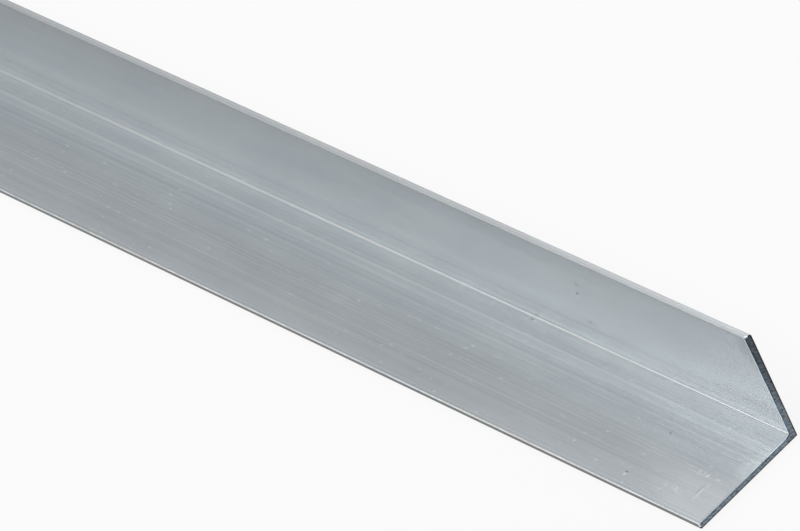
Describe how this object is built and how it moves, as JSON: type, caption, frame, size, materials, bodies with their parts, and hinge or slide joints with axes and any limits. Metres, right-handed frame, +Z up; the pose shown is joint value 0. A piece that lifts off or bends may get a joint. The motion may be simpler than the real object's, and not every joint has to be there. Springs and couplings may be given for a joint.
{
  "type": "metal angle section",
  "caption": "Straight equal-leg angle section of mill-finish extruded aluminium, with thin legs at a right angle, a small root fillet, eased leg tips and square sawn ends.",
  "frame": {"origin": "on the floor plane, under the middle of the bar's length and halfway across the lower leg", "axes": "+X along the bar, +Y across the lower leg from its tip towards the heel and the upright leg, +Z up along the upright leg"},
  "size_m": [0.9144, 0.0318, 0.0318],
  "materials": {
    "mill_aluminium": "mill finish as extruded: semi-matte, with fine die lines along its length and sawn ends"
  },
  "bodies": {
    "root": {"angle_section": "mill_aluminium"}
  },
  "joints": []
}
